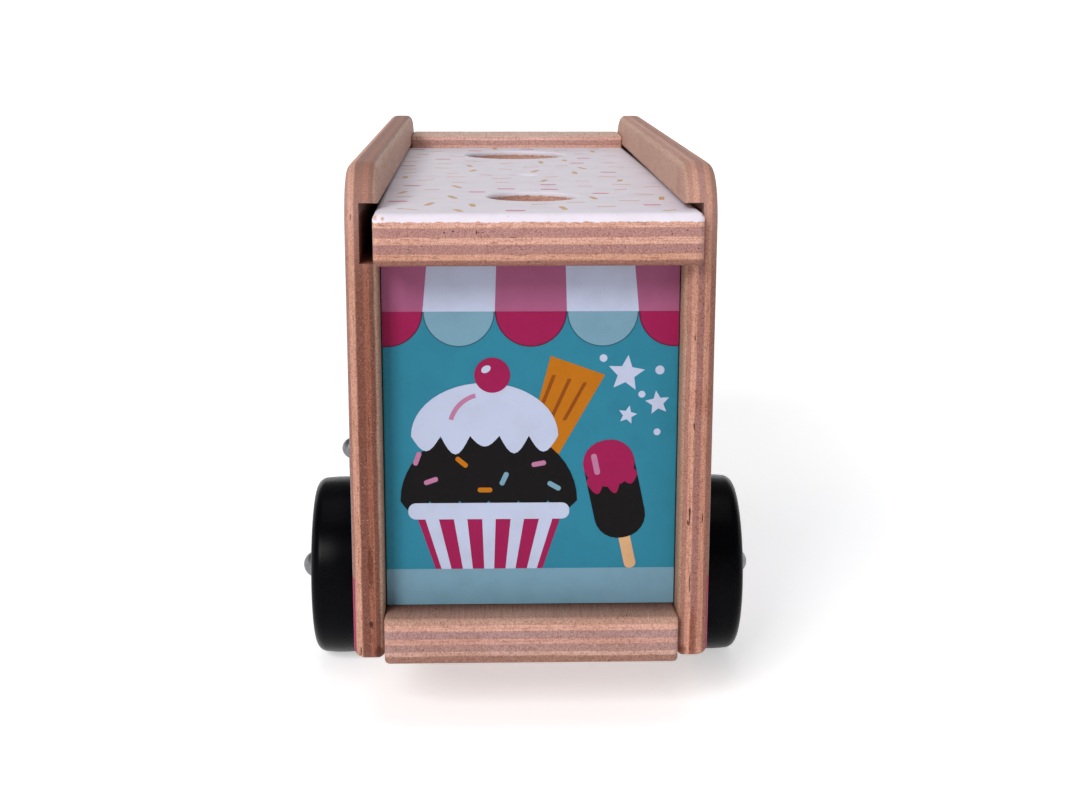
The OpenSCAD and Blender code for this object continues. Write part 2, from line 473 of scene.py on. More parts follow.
def slab(outline, thickness, lowEdge, highEdge, worn=0.06, steps=6):   # rings from the low face up
    quarter = [math.pi / 2 * k / steps for k in range(steps + 1)]
    rings = [(lowEdge * (1 - math.sin(a)), lowEdge * (1 - math.cos(a))) for a in quarter]
    rings += [(highEdge * (1 - math.cos(a)), thickness - highEdge * (1 - math.sin(a))) for a in quarter]
    bm = bmesh.new()
    loops = []
    for inset, height in rings:
        points = outline(inset)
        loop = []
        for k, point in enumerate(points):
            run = (points[(k + 1) % len(points)] - points[k - 1]).normalized()
            rub = worn * (0.5 + 0.5 * noise.noise(Vector((*point, height)) * 0.11))
            loop.append(bm.verts.new((point.x - run.y * rub, point.y + run.x * rub, height)))
        loops.append(loop)
    for lower, upper in zip(loops, loops[1:]):
        for k in range(len(lower)):
            n = (k + 1) % len(lower)
            bm.faces.new((lower[k], lower[n], upper[n], upper[k]))
    bm.faces.new(loops[0][::-1])
    bm.faces.new(loops[-1])
    return bm


def block(u0, v0, u1, v1):
    return [(u0, v0), (u1, v0), (u1, v1), (u0, v1)]


def prism(points, low, high, bm=None):
    bm = bm or bmesh.new()
    points = [point for k, point in enumerate(points) if math.dist(point, points[k - 1]) > 0.01]
    bottom = [bm.verts.new((u, v, low)) for u, v in points]
    top = [bm.verts.new((u, v, high)) for u, v in points]
    bm.faces.new(bottom[::-1])
    bm.faces.new(top)
    for k in range(len(points)):
        n = (k + 1) % len(points)
        bm.faces.new((bottom[k], bottom[n], top[n], top[k]))
    return bm


def turned(profile, segments, closed=True):   # (radius, height) points spun round the height axis
    bm = bmesh.new()
    loops = []
    for radius, height in profile:
        loops.append([bm.verts.new((radius * math.cos(a), radius * math.sin(a), height))
                      for a in (math.tau * k / segments for k in range(segments))])
    pairs = list(zip(loops, loops[1:])) + ([(loops[-1], loops[0])] if closed else [])
    for lower, upper in pairs:
        for k in range(segments):
            n = (k + 1) % segments
            bm.faces.new((lower[k], lower[n], upper[n], upper[k]))
    if not closed:
        bm.faces.new(loops[0][::-1])
        bm.faces.new(loops[-1])
    return bm


def bend(centre, radius, first, last, steps=6):   # points of an arc, angles in degrees
    angles = [math.radians(first + (last - first) * k / steps) for k in range(steps + 1)]
    return [(centre[0] + radius * math.cos(a), centre[1] + radius * math.sin(a)) for a in angles]


# Side boards

sideLook = {
    "corners": (3.4, 30.0, 16.0, 3.4),          # lower front, upper front, upper rear, lower rear
    "outerEdge": 3.2, "innerEdge": 2.2,         # sanded edges
    "grooveWeb": 4.1, "grooveDrop": 10.8, "grooveHeight": 15.8,
    "grooveRagged": 0.3, "grooveTear": 0.9, "grooveStep": 1.6,
    "boreRadius": 2.1,
    "bandTop": 46.0,
    "pliesLeft": [(0.9, (160, 112, 98), True), (1.9, (196, 147, 127), False), (2.1, (124, 78, 65), True),
                  (1.9, (146, 92, 73), False), (1.1, (120, 78, 66), True), (1.1, (180, 148, 128), True)],
    "marksLeft": [((-45.7, -127.2, 32.0), (0.8, 4.0, 1.2), (0.3, 0.25, 0.22)),
                  ((-45.6, -127.2, 49.0), (0.9, 4.0, 8.0), (0.6, 0.5, 0.45)),
                  ((-43.6, -127.2, 22.6), (1.6, 4.0, 3.4), (0.55, 0.42, 0.36)),
                  ((-47.6, -124.0, 160.4), (0.9, 1.4, 1.2), (0.5, 0.45, 0.42))],
    "pliesRight": [(1.8, (152, 105, 90), True), (1.8, (190, 138, 118), False), (1.7, (158, 112, 104), True),
                   (1.8, (200, 149, 129), False), (1.0, (170, 121, 108), True), (0.9, (184, 146, 124), True)],
    "marksRight": [((46.2, -127.2, 27.0), (1.0, 4.0, 12.0), (0.8, 0.6, 0.45)),
                   ((43.4, -127.2, 22.6), (1.4, 4.0, 3.0), (0.6, 0.45, 0.38))],
    "chalky": (126.0, 152.0),
}
printColours = {
    "teal": (40, 122, 146), "deepTeal": (16, 62, 78), "pale": (113, 151, 170), "white": (182, 190, 214),
    "rose": (158, 86, 122), "crimson": (148, 18, 74), "crimsonLine": (84, 14, 44), "paleLine": (42, 88, 106),
    "black": (6, 3, 4), "orange": (180, 106, 6), "amber": (136, 68, 4), "stick": (204, 160, 118),
    "lilac": (178, 114, 150), "glass": (150, 186, 200),
}


def grooveCutter(look, front):   # an outline with slightly torn lips, and the cutter's round end
    top = sideTop - look["grooveDrop"]
    bed = top - look["grooveHeight"]
    middle, half = (top + bed) / 2, look["grooveHeight"] / 2
    start, step = sideRear - 2, look["grooveStep"]
    stations = [start + step * k for k in range(int((front - sideRear + 2) / step))]

    def torn(u, edge):
        tear = look["grooveTear"] * math.exp(-max(u - sideRear, 0) / 3) if edge else 0
        return tear + look["grooveRagged"] * noise.noise(Vector((u * 0.7, edge, 3.3)))

    lower = [(u, bed + torn(u, 0.0)) for u in stations]
    upper = [(u, top + torn(u, 9.0)) for u in reversed(stations)]
    return lower + bend((front, middle), half, -90, 90, 16) + upper


def sideBoard(hand):
    look = sideLook
    name = "side_board_" + hand
    low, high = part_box(name)
    sign = -1 if hand == "left" else 1
    outer = (low.x if sign < 0 else high.x) / mm
    thickness = (high.x - low.x) / mm
    place = plate((outer, 0, 0), (0, 1, 0), (0, 0, 1), (-sign, 0, 0))
    board = slab(cornered((low.y / mm, low.z / mm), (high.y / mm, high.z / mm), look["corners"], turns=14),
                 thickness, look["outerEdge"], look["innerEdge"])
    groove = prism(grooveCutter(look, headerRear), look["grooveWeb"], thickness + 1)
    cutters = [meshFrom("groove", groove, place)]
    for end in ("rear", "front"):
        bore = prism(bend(middleOf(end + "_axle").yz, look["boreRadius"], 0, 350, 35), -1, thickness + 1)
        cutters.append(meshFrom("bore", bore, place))
    mesh = shade(carved(meshFrom(name, board, place), cutters))
    wood = plywood("side_ply_" + hand, {
        "stack": 0, "grain": 1, "start": outer, "way": -sign, "plies": look["plies" + hand.title()],
        "marks": look["marks" + hand.title()], "chalky": look["chalky"], "seed": 4.0 + sign,
        "paint": {"depth": 0.14, "ragged": 0.2, "seed": 20.0 + sign, "grain": 1, "footDepth": 0.75,
                  "colour": printColours["crimson"], "bands": [(look["bandTop"], printColours["teal"])]}})
    link(name + "_sanded", mesh, [wood], "body", "side_board", name)


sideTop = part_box("side_board_left")[1].z / mm
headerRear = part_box("front_header")[0].y / mm
for hand in ("left", "right"):
    sideBoard(hand)
print("side boards made")


# Floor, header and end panels

floorLook = {
    "corner": 1.6, "edge": 1.2,
    "channelHalf": 2.3, "channelTop": 30.6,
    # joints: where painted shade darkens the floor beside each end panel
    "joints": (-118.2, 120.8),
    "plies": [(2.4, (152, 112, 98), False), (1.5, (196, 156, 142), True), (1.9, (168, 132, 125), False),
              (2.0, (194, 148, 134), True), (2.1, (170, 135, 132), False), (2.0, (208, 160, 144), True),
              (1.8, (186, 148, 130), False)],
}
headerLook = {
    "corner": 0.8, "edge": 0.9,
    # these ply colours are lighter than the wood's own: painted light on the header, set against the side
    # boards' shade
    "plies": [(1.6, (228, 182, 168), True), (2.0, (204, 160, 150), False), (1.7, (236, 190, 174), True),
              (1.8, (206, 162, 152), False), (1.3, (240, 196, 182), True), (0.6, (224, 190, 174), False)],
}
panelLook = {
    "corner": 0.5, "edge": 0.45,
    "plies": [(1.2, (200, 156, 138), True), (1.2, (176, 130, 116), False), (1.2, (206, 160, 142), True),
              (1.2, (176, 130, 116), False), (1.2, (200, 156, 138), True)],
}


def flatBoard(node, look, stack, axes, grain, slot, seed, cutters=(), paint=None, way=1):
    # axes are the outline's two axes. way is the side that the first ply and the paint are on
    low, high = (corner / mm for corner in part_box(node))
    units = [Vector((1, 0, 0)), Vector((0, 1, 0)), Vector((0, 0, 1))]
    start = low[stack] if way > 0 else high[stack]
    place = plate(units[stack] * start, units[axes[0]], units[axes[1]], units[stack] * way)
    outline = cornered((low[axes[0]], low[axes[1]]), (high[axes[0]], high[axes[1]]), [look["corner"]] * 4)
    thickness, edge = high[stack] - low[stack], look["edge"]
    board = meshFrom(node, slab(outline, thickness, edge, edge, worn=0.04), place)
    mesh = shade(carved(board, cutters) if cutters else board)
    wood = {"stack": stack, "grain": grain, "start": start, "way": way,
            "plies": look["plies"], "seed": seed}
    # painted shade beside the end panels, where a board has any
    if "joints" in look:
        wood["joints"] = look["joints"]
    if paint:
        wood["paint"] = paint
    return link(node + "_sanded", mesh, [plywood(node + "_ply", wood)], "body", slot, node)


def channelCutter(end, look):
    middle, half, foot = middleOf(end + "_axle").y, look["channelHalf"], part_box("floor_board")[0].z / mm - 1
    square = block(middle - half, foot, middle + half, look["channelTop"])
    place = plate((0, 0, 0), (0, 1, 0), (0, 0, 1), (1, 0, 0))
    return meshFrom("channel", prism(square, -sideOuter, sideOuter), place)


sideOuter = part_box("side_board_right")[1].x / mm
flatBoard("floor_board", floorLook, 2, (0, 1), 0, "bare_ply", 12.0,
          [channelCutter(end, floorLook) for end in ("rear", "front")])
flatBoard("front_header", headerLook, 2, (0, 1), 0, "bare_ply", 13.0)
tealCoat = {"depth": 0.5, "ragged": 0.3, "grain": 2, "colour": printColours["teal"]}
for node, seed, paintSeed, way in (("rear_panel", 14.0, 31.0, 1), ("front_panel", 15.0, 33.0, -1)):
    coat = tealCoat | {"seed": paintSeed}
    flatBoard(node, panelLook, 1, (0, 2), 2, "printed_panel", seed, paint=coat, way=way)
print("floor, header and panels made")


# Roof lid, which lies a little askew in its grooves

lidLook = {
    "corner": 2.0, "topEdge": 2.0, "lowEdge": 1.4,
    "holes": ((13.0, 43.4), (4.3, 111.3), (18.5, 193.35)),   # radius, distance from the rear edge
    "flareTop": 1.1, "flareLow": 0.6,
    "rims": (1.2, None, 1.5),   # mm of paint down each hole, None where it is painted right through
    "chips": ((-43.4, 1.2, 1.4, 1.1), (-41.8, 0.6, 1.6, 0.8), (43.6, 1.4, 1.2, 0.9), (44.0, 4.6, 0.7, 0.7)),
    # plies from the top down; the lowest ply's dark brown is partly its own colour and partly painted shade
    # of the lower rounded edge
    "plies": [(4.0, (218, 170, 152), True), (2.4, (182, 136, 130), False), (2.1, (216, 167, 149), True),
              (2.4, (176, 131, 125), False), (1.9, (204, 153, 131), True), (1.6, (152, 106, 94), False)],
}


def lidPlace():   # from the lid's own corners: where its rear edge starts, and which way it runs
    spots = [v.co.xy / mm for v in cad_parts["roof_lid"].data.vertices]
    rearLeft = min(spots, key=lambda spot: spot.y)
    rearRight = max(spots, key=lambda spot: spot.x)
    frontLeft = min(spots, key=lambda spot: spot.x)
    across, along = rearRight - rearLeft, frontLeft - rearLeft
    return (rearLeft + rearRight) / 2, across.normalized(), along.normalized(), across.length, along.length


def holeCutter(radius, thickness, look):
    top, low = look["flareTop"], look["flareLow"]
    profile = [(radius + low, -1), (radius + low, 0)] + bend((radius + low, low), low, 270, 180)
    profile += bend((radius + top, thickness - top), top, 180, 90)
    profile += [(radius + top, thickness + 1)]
    return turned(profile, 96, closed=False)


lidMiddle, lidAcross, lidAlong, lidWidth, lidLength = lidPlace()
lidLow, lidHigh = (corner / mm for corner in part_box("roof_lid"))
lidThickness = lidHigh.z - lidLow.z


def onLid(across, along):   # a spot on the lid, from the middle of its rear edge
    return lidMiddle + lidAcross * across + lidAlong * along


def roofLid(look):
    def sunk(origin):
        return plate((*origin, lidLow.z), (*lidAcross, 0), (*lidAlong, 0), (0, 0, 1))

    outline = cornered((-lidWidth / 2, 0), (lidWidth / 2, lidLength), [look["corner"]] * 4)
    board = meshFrom("lid", slab(outline, lidThickness, look["lowEdge"], look["topEdge"]), sunk(lidMiddle))
    cutters = [meshFrom("hole", holeCutter(radius, lidThickness, look), sunk(onLid(0, along)))
               for radius, along in look["holes"]]
    rims, soaked = [], []
    for (radius, along), rimDepth in zip(look["holes"], look["rims"]):
        if rimDepth:
            rims.append((*onLid(0, along), radius, rimDepth))
        else:
            soaked.append((*onLid(0, along), radius))
    wood = plywood("lid_ply", {
        "stack": 2, "grain": 0, "start": lidHigh.z, "way": -1, "plies": look["plies"], "seed": 2.0,
        "paint": {"depth": 2.4, "ragged": 1.5, "seed": 41.0, "grain": 1, "colour": (232, 225, 236),
                  "rims": rims, "soaked": soaked,
                  "chips": [((*onLid(u, v), lidHigh.z - w), r) for u, v, w, r in look["chips"]]}})
    link("roof_lid_painted", shade(carved(board, cutters)), [wood], "lid", "printed_lid", "roof_lid")


roofLid(lidLook)
print("lid made")


# Wheels, caps and rods

wheelLook = {
    "outerEdge": 3.5, "innerEdge": 1.5, "boss": 8.0, "bossHeight": 1.2, "bore": 2.08,
    "mouth": 0.5, "crown": 0.25, "segments": 144, "slot": "black_wheel",
}
capLook = {"rim": 1.2, "lip": 0.35, "bore": 2.02, "seat": 3.0, "segments": 64, "slot": "steel"}


def wheelProfile(look, radius, thickness):   # height 0 is the inner face, without its boss
    outer, inner, mouth, bore = (look[k] for k in ("outerEdge", "innerEdge", "mouth", "bore"))
    boss, low = look["boss"], -look["bossHeight"]
    edge = radius - look["crown"]
    profile = [(bore, low + mouth), (bore + mouth, low)]
    profile += [(boss - 0.4, low)] + bend((boss - 0.4, low + 0.4), 0.4, -90, 0, 4) + [(boss, -0.3)]
    profile += bend((boss + 0.3, -0.3), 0.3, 180, 90, 3)
    profile += [(edge - inner - 0.3, 0)] + bend((edge - inner, inner), inner, -90, 0, 5)
    tread = thickness - inner - outer
    crown = [look["crown"] * math.sin(math.pi * k / 8) for k in range(1, 8)]
    profile += [(edge + rise, inner + tread * k / 8) for k, rise in enumerate(crown, 1)]
    profile += bend((edge - outer, thickness - outer), outer, 0, 90, 8)
    profile += [(edge - outer - 0.4, thickness), (bore + mouth + 0.3, thickness)]
    profile += [(bore + mouth, thickness), (bore, thickness - mouth)]
    return profile


def capProfile(look, radius, height):
    rim, bore = look["rim"], look["bore"]
    domeHeight = height - rim
    ball = (radius ** 2 + domeHeight ** 2) / (2 * domeHeight)
    top = math.degrees(math.asin(min(radius / ball, 1.0)))
    lip = look["lip"]
    profile = [(bore, 0), (radius - lip, 0)] + bend((radius - lip, lip), lip, -90, 0, 3) + [(radius, rim)]
    profile += bend((0, height - ball), ball, 90 - top, 89.5, 14)[1:]
    return profile + [(0.01, look["seat"] + 0.2), (bore, look["seat"])]


def turnedPiece(node, name, sign, look, profileOf, body, material):   # sign is the side of the truck
    low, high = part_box(node)
    boss = look.get("bossHeight", 0.0)
    inner = (high.x if sign < 0 else low.x) / mm + sign * boss
    profile = profileOf(look, (high.z - low.z) / 2 / mm, (high.x - low.x) / mm - boss)
    place = plate((inner, *middleOf(node).yz), (0, 1, 0), (0, 0, sign), (sign, 0, 0))
    mesh = shade(meshFrom(name, turned(profile, look["segments"]), place))
    link(name, mesh, [material], body, look["slot"], node)


blackLacquer = lacquer(lacquerLook)
zincSteel = steel(steelLook)
for end in ("rear", "front"):
    for hand, sign in (("left", -1), ("right", 1)):
        wheel, cap = f"wheel_{end}_{hand}", f"axle_cap_{end}_{hand}"
        turnedPiece(wheel, wheel + "_lacquered", sign, wheelLook, wheelProfile, wheel, blackLacquer)
        turnedPiece(cap, cap + "_domed", sign, capLook, capProfile, "body", zincSteel)
    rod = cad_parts[end + "_axle"]
    rod.data.materials.clear()
    rod.data.materials.append(zincSteel)
print("wheels, caps and rods made")


# Printed art: thin closed layers of ink, each colour one piece on each face

inkLook = {"sunk": 0.02, "layer": 0.03}   # mm
awningColours = (("rose", "crimsonLine", "crimson"), ("white", "paleLine", "pale"))   # cloth, line, scallop


def disc(u, v, r, steps=40):
    return bend((u, v), r, 0, 360 * (steps - 1) / steps, steps - 1)


def oval(u, v, ru, rv, tilt=0.0, steps=48):
    c, w = math.cos(math.radians(tilt)), math.sin(math.radians(tilt))
    return [(u + ru * x * c - rv * y * w, v + ru * x * w + rv * y * c) for x, y in disc(0, 0, 1, steps)]


def roundBlock(u0, v0, u1, v1, r):
    corners = ((u1 - r, v0 + r, -90), (u1 - r, v1 - r, 0), (u0 + r, v1 - r, 90), (u0 + r, v0 + r, 180))
    return [point for u, v, first in corners for point in bend((u, v), r, first, first + 90)]


def star(u, v, r, tilt=90, points=5):
    return [bend((u, v), r * (1 if k % 2 == 0 else 0.46), tilt + 180 * k / points, 0, 1)[0]
            for k in range(2 * points)]


def cream(u, v, ru, rv, bumps, depth):   # a dome with a soft bumpy skirt
    width = 2 * ru / bumps
    drops = [depth * (1 + 0.3 * math.sin(2.3 * k)) for k in range(bumps)]
    skirt = [(u - ru + width * (k + t / 8), v - drops[k] * math.sin(math.pi * t / 8))
             for k in range(bumps) for t in range(8)]
    dome = [(u + ru * math.cos(a), v + rv * math.sin(a)) for a in (math.pi * k / 24 for k in range(25))]
    return skirt + dome


def turnedBy(points, centre, tilt):
    c, w = math.cos(math.radians(tilt)), math.sin(math.radians(tilt))
    return [(centre[0] + (u - centre[0]) * c - (v - centre[1]) * w,
             centre[1] + (u - centre[0]) * w + (v - centre[1]) * c) for u, v in points]


def clipped(points, u0, u1):
    return [(min(max(u, u0), u1), v) for u, v in points]


def moved(shapes, u, v, size, layer, tilt=0):   # a drawing made round (0, 0), put in its place on a face
    def put(points):
        return turnedBy([(u + size * x, v + size * y) for x, y in points], (u, v), tilt)

    return [(colour, layer + step, put(points)) for colour, step, points in shapes]


inks = {}


def inkOf(colour):
    if colour not in inks:
        inks[colour] = ink("ink_" + colour, printColours[colour], 2, 11.0 + len(inks))
    return inks[colour]


def printArt(face, art):   # art is a list of (colour, layer, outline)
    groups = {}
    for colour, layer, points in art:
        groups.setdefault(colour, []).append((layer, points))
    for colour, shapes in groups.items():
        bm = bmesh.new()
        for layer, points in shapes:
            prism(points, -inkLook["sunk"], inkLook["layer"] * layer, bm)
        name = f"{face['name']}_print_{colour}"
        link(name, meshFrom(name, bm, face["place"], merge=0), [inkOf(colour)], "body", face["slot"])


def awning(middle, top, fold, radius, count, fan, u0, u1, layer=1):
    # count stripes whose scallops hang from the fold, fanned out towards the top
    art = []
    first = middle - radius * count
    for k in range(count):
        left, right = first + 2 * radius * k, first + 2 * radius * (k + 1)
        upper = [(middle + (u - middle) * fan, top) for u in (right, left)]
        cloth, line, scallop = awningColours[k % 2]
        centre = ((left + right) / 2, fold)
        shapes = [(cloth, 0, [(left, fold), (right, fold)] + upper),
                  (line, 0, bend(centre, radius, 180, 360, 28)),
                  (scallop, 1, bend(centre, radius - 0.35, 180, 360, 28))]
        art += [(colour, layer + step, clipped(points, u0, u1)) for colour, step, points in shapes]
    return art


def sundae(u, v, size, layer):   # a striped cup, a chocolate scoop, whipped cream, a cherry and a wafer
    cup, wafer = [(-14, 0), (14, 0), (19, 15), (-19, 15)], [(9, 30), (17, 29), (30, 52), (16, 57)]
    shine = bend((-1, 38), 9.6, 105, 165, 10) + bend((-1, 38), 8.4, 165, 105, 10)
    shapes = [("orange", 0, wafer), ("crimson", 0, cup)]
    for k in range(3):
        lowU, lowV, highU, highV = 11 + 4 * k, 38 + k, 16.4 + 4 * k, 52 - k
        shapes.append(("amber", 1, [(lowU, lowV), (lowU + 1, lowV), (highU + 1, highV), (highU, highV)]))
    for k in range(-2, 3):
        foot, top = 5.6 * k, 7.6 * k
        shapes.append(("white", 1, [(foot - 1.3, 0), (foot + 1.3, 0), (top + 1.8, 15), (top - 1.8, 15)]))
    shapes += [("black", 2, cream(0, 18.6, 23, 20, 6, 3.6)),
               ("white", 3, roundBlock(-21, 13.6, 21, 18, 2.0)),
               ("white", 3.4, cream(-1, 36, 19, 14, 5, 4.0)), ("lilac", 4, shine),
               ("crimson", 4, disc(1, 52, 4.6)), ("white", 5, oval(-0.6, 53.6, 1.3, 0.9, 30, 20))]
    bits = ((-15, 24, 20), (-7, 29, -40), (4, 24.5, 65), (13, 28.5, 10),
            (-1, 21.5, 0), (17, 22.5, -30), (-18.5, 30, 70))
    for number, (du, dv, tilt) in enumerate(bits):
        dash = roundBlock(du - 1.9, dv - 0.65, du + 1.9, dv + 0.65, 0.6)
        shapes.append((("lilac", "orange", "pale")[number % 3], 3, turnedBy(dash, (du, dv), tilt)))
    return moved(shapes, u, v, size, layer)


def lolly(u, v, size, tilt, layer):   # v is the foot of the stick
    shapes = [("stick", 0, roundBlock(-1.6, 0, 1.6, 12, 1.4)), ("black", 1, roundBlock(-7, 9, 7, 37, 6.5)),
              ("crimson", 2, roundBlock(-7.05, 24, 7.05, 37.05, 6.5)),
              ("crimson", 2.4, cream(0, 26, 7.05, 4, 3, 3.4)),
              ("lilac", 3.4, roundBlock(-4.4, 28, -2.8, 34, 0.75))]
    return moved(shapes, u, v, size, layer, tilt)


def cone(u, v, size, scoops, layer):   # v is the point of the wafer
    half, top = 8, 26
    shapes = [("orange", 0, [(0, 0), (half, top), (-half, top)])]
    for k in (-1, 0, 1):
        for way in (-1, 1):
            rise = 8 + 4 * abs(k)
            reach = half * rise / top - 0.8   # stays inside the wafer
            low, high = min(max(way * (3.2 * k - 1.2), -reach), reach), way * (3.2 * k + 3.4)
            line = [(low, rise), (low + 0.7, rise), (high + 0.7, top - 0.4), (high, top - 0.4)]
            shapes.append(("amber", 1.2 + 0.3 * way, line))
    shapes += [(colour, 2 + number, cream(0, 25.4 + 9.5 * number, 9.2 - number, 9.5, 4, 2.6))
               for number, colour in enumerate(scoops)]
    return moved(shapes, u, v, size, layer)


def glint(u, width, lean, low, high):   # a slanting streak on a window
    return [(u, low), (u + width, low), (u + width + lean, high), (u + lean, high)]


def rearArt():
    limit = panelHalf - 0.2
    art = awning(0.0, panelTop, 120.9, 10.1, 5, 0.955, -limit, limit)
    art.append(("pale", 1, block(-limit, panelFoot + 0.2, limit, 45.5)))
    art += sundae(-12, 45.5, 1.1, 2)
    art += lolly(29, 45.5, 1.05, 12, 2)
    art += [("white", 1, star(u, v, r, tilt)) for u, v, r, tilt in
            ((27, 103, 5.4, 84), (36, 94.5, 3.6, 98), (27.5, 91, 2.8, 78))]
    art += [("white", 1, disc(u, v, r, 24)) for u, v, r in
            ((36.5, 104, 1.3), (31.5, 97, 1.0), (20.5, 107.5, 1.1), (36, 86, 1.0))]
    return art


rearLow, rearHigh = (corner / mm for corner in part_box("rear_panel"))
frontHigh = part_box("front_panel")[1] / mm
panelHalf, panelFoot, panelTop = rearHigh.x, rearLow.z, rearHigh.z
printArt({"name": "rear", "slot": "printed_panel",
          "place": plate((0, rearLow.y, 0), (1, 0, 0), (0, 0, 1), (0, -1, 0))}, rearArt())
print("rear panel printed")


def frontArt():
    limit, top = panelHalf - 0.2, frontHigh.z - 0.2
    art = awning(0.0, top, 132.0, 10.1, 5, 1.0, -limit, limit)
    art += [("crimson", 1, block(-limit, panelFoot + 0.2, limit, 52)),
            ("white", 2, roundBlock(-37, 78, 37, 119, 8)),
            ("glass", 3, roundBlock(-34.5, 80.5, 34.5, 116.5, 6))]
    art += [("white", 4, glint(u, w, 16, 84, 114)) for u, w in ((-26, 6), (-16, 2.4), (8, 5))]
    for u in (-26, 2):   # wipers
        art += moved([("deepTeal", 0, roundBlock(0, -0.6, 22, 0.6, 0.5))], u, 81.8, 1, 5, 24)
    art += [("white", 2, roundBlock(-16, 61 + 4.4 * k, 16, 63.4 + 4.4 * k, 1.1)) for k in range(3)]
    for u in (-29, 29):
        art += [("white", 2, disc(u, 62, 7.4)), ("orange", 3, disc(u, 62, 5.6)),
                ("stick", 4, disc(u - 1.6, 63.8, 1.8))]
    return art + [("white", 2, roundBlock(-13, 38.5, 13, 47, 1.6)),
                  ("pale", 3, roundBlock(-11.6, 39.9, 11.6, 45.6, 1.0))]


printArt({"name": "front", "slot": "printed_panel",
          "place": plate((0, frontHigh.y, 0), (-1, 0, 0), (0, 0, 1), (0, 1, 0))}, frontArt())
print("front panel printed")


def sideArt(axles):
    low, high = sideRear + 4, sideFront - 4
    art = awning(-16, 139, 124, 8.6, 7, 0.97, low, high, 4)
    art += [("white", 1, roundBlock(-70, 70, 38, 126, 5)), ("deepTeal", 2, roundBlock(-67, 76, 35, 123, 3)),
            ("white", 3, roundBlock(-76, 66, 44, 72.5, 2.5)),
            ("lilac", 4, roundBlock(-74, 67.2, 42, 68.8, 0.7))]
    sorts = (("white", "lilac"), ("rose", "white"), ("pale",), ("crimson", "pale"))
    for number, scoops in enumerate(sorts):
        art += cone(-54 + 25 * number, 73.5, 0.84, scoops, 5)
    art += [("white", 1, roundBlock(56, 84, 112, 128, 9)),   # cab window
            ("glass", 2, roundBlock(58.8, 86.8, 109.2, 125.2, 7))]
    art += [("white", 3, glint(u, w, 14, 90, 122)) for u, w in ((68, 7), (79, 2.6))]
    art += [("deepTeal", 0.4, roundBlock(53, 51, 115, 131, 11)),   # the door, as an outline and a handle
            ("teal", 0.7, roundBlock(53.7, 51.7, 114.3, 130.3, 10.3)),
            ("white", 2, roundBlock(58, 74, 68, 77, 1.4))]
    art += cone(-99, 66, 1.5, ("rose", "white"), 2)
    art += [("crimson", 6, disc(-99, 132.0, 4.8)), ("white", 7, oval(-100.6, 133.7, 1.3, 0.9, 30, 20)),
            ("orange", 2, roundBlock(122, 56, high, 66, 3)),
            ("crimson", 2, roundBlock(low, 56, -117, 66, 3)),
            ("white", 1, block(low, 45.4, high, 49))]   # a cherry, two lamps and the icing's top
    for centre in axles:
        arch = [(u, v) for u, v in bend((centre, axleHeight), 33, -8, 188, 48) if v > sideFoot + 3.6]
        art.append(("deepTeal", 1.5, arch))
    return art


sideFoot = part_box("side_board_left")[0].z / mm
axleHeight = middleOf("rear_axle").z
axles = [middleOf(end + "_axle").y for end in ("rear", "front")]
sideFaces = [{"name": hand, "slot": "side_board",
              "place": plate((sign * sideOuter, 0, 0), (0, 1, 0), (0, 0, 1), (sign, 0, 0))}
             for hand, sign in (("left", -1), ("right", 1))]
for face in sideFaces:
    printArt(face, sideArt(axles))
print("sides printed")


# Geometry Nodes: rows of icing drops and dots, and the sprinkles on the lid

def startTree(name, inputs):   # inputs are (name, socket kind)
    tree = bpy.data.node_groups.new(name, "GeometryNodeTree")
    for label, kind in inputs:
        tree.interface.new_socket(label, in_out="INPUT", socket_type="NodeSocket" + kind)
    tree.interface.new_socket("Geometry", in_out="OUTPUT", socket_type="NodeSocketGeometry")
    source = tree.nodes.new("NodeGroupInput")
    return tree, {label: Wire(tree, source.outputs[label]) for label, kind in inputs}


def endTree(tree, shape, finish):
    real = shape.make("GeometryNodeRealizeInstances", None, {0: shape})
    coated = shape.make("GeometryNodeSetMaterial", None, {"Geometry": real, "Material": finish})
    out = tree.nodes.new("NodeGroupOutput")
    tree.links.new(coated.socket, out.inputs[0])
    return tree


def grown(tree, values, base=None):   # the tree's result as a plain mesh
    mesh = base or bpy.data.meshes.new("base")
    holder = bpy.data.objects.new("holder", mesh)
    bpy.context.scene.collection.objects.link(holder)
    modifier = holder.modifiers.new("grow", "NODES")
    modifier.node_group = tree
    for item in tree.interface.items_tree:
        if item.in_out == "INPUT" and item.name in values:
            modifier[item.identifier] = values[item.name]
    depsgraph = bpy.context.evaluated_depsgraph_get()
    made = bpy.data.meshes.new_from_object(holder.evaluated_get(depsgraph))
    bpy.data.objects.remove(holder)
    return made


def rowTree():   # flat round drops along a line, in the line's own frame
    tree, socket = startTree("row_of_drops", [
        ("Count", "Int"), ("First", "Vector"), ("Step", "Vector"), ("Radius", "Float"),
        ("Stretch", "Float"), ("Wave", "Float"), ("Depth", "Float"), ("Ink", "Material")])
    line = socket["Count"].make("GeometryNodeMeshLine", {"mode": "OFFSET"}, {
        "Count": socket["Count"], "Start Location": socket["First"], "Offset": socket["Step"]})
    drop = line.make("GeometryNodeMeshCylinder", None, {
        "Vertices": 28, "Radius": socket["Radius"], "Depth": socket["Depth"]})
    number = line.make("GeometryNodeInputIndex")
    swell = line.make("ShaderNodeMath", {"operation": "SINE"}, {0: number * 2.4}) * socket["Wave"] + 1.0
    size = line.make("ShaderNodeCombineXYZ", None, {0: swell, 1: swell * socket["Stretch"], 2: 1.0})
    placed = line.make("GeometryNodeInstanceOnPoints", None, {
        "Points": line, "Instance": drop, "Scale": size})
    return endTree(tree, placed, socket["Ink"])


